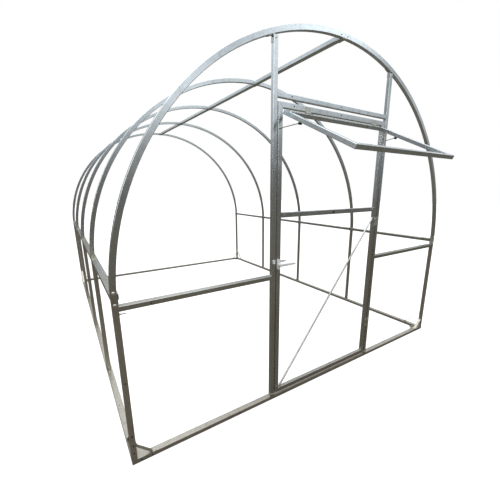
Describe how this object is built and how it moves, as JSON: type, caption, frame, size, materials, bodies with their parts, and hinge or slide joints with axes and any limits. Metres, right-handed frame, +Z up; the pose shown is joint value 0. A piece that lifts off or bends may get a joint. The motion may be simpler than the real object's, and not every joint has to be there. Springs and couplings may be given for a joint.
{
  "type": "arched greenhouse frame",
  "caption": "Bare galvanised steel tube frame of an arched greenhouse, with a hinged door that carries a propped top-hung vent sash.",
  "frame": {"origin": "on the ground under the middle of the front base rail", "axes": "+X across the house to the hinge side of the door, +Y from the front to the rear, +Z up"},
  "size_m": [3, 4.605, 2.443],
  "materials": {
    "galvanised_steel": "galvanised, satin",
    "galvanised_dull": "galvanised, weathered",
    "zinc_plated": "zinc plated, satin",
    "white_plastic": "moulded, gloss"
  },
  "bodies": {
    "frame": {"base_rail_front": "galvanised_dull", "base_rail_rear": "galvanised_dull", "base_rail_left": "galvanised_dull", "base_rail_right": "galvanised_dull", "legs_left": "galvanised_dull", "legs_right": "galvanised_dull", "bow_front": "galvanised_steel", "bow_2": "galvanised_steel", "bow_3": "galvanised_steel", "bow_4": "galvanised_steel", "bow_rear": "galvanised_steel", "ridge_purlin": "galvanised_steel", "side_rail_left": "galvanised_steel", "side_rail_right": "galvanised_steel", "front_rail_left": "galvanised_steel", "front_rail_right": "galvanised_steel", "door_post_left": "galvanised_steel", "door_post_right": "galvanised_steel", "transom": "galvanised_steel", "corner_bracket_front_left": "zinc_plated", "corner_bracket_front_right": "zinc_plated", "corner_bracket_rear_left": "zinc_plated", "corner_bracket_rear_right": "zinc_plated", "foot_brackets": "zinc_plated", "rail_clips": "zinc_plated", "ridge_clips": "zinc_plated", "post_brackets": "zinc_plated", "hinge_plates_post": "zinc_plated", "latch_keeper": "white_plastic"},
    "door": {"leaf_stile_latch": "galvanised_steel", "leaf_stile_hinge": "galvanised_steel", "leaf_top_rail": "galvanised_steel", "leaf_mid_rail": "galvanised_steel", "leaf_bottom_rail": "galvanised_steel", "leaf_brace": "galvanised_steel", "hinge_plates_leaf": "zinc_plated", "handle_plates": "white_plastic", "sash_side_bars": "galvanised_steel", "sash_cross_bars": "galvanised_steel", "sash_hinges": "zinc_plated", "sash_stays": "zinc_plated"},
    "handle": {"handle_lever": "white_plastic"}
  },
  "joints": [
    {"name": "door_swing", "type": "hinge", "parent": "frame", "child": "door", "pos_m": [0.501, -0.0255, 1], "axis": [0, 0, 1], "range_deg": [0, 90]},
    {"name": "lever_turn", "type": "hinge", "parent": "door", "child": "handle", "pos_m": [-0.497, -0.007, 1.018], "axis": [0, 1, 0], "range_deg": [0, 45], "stiffness_Nm_per_rad": 1, "springref_deg": -17.19}
  ]
}
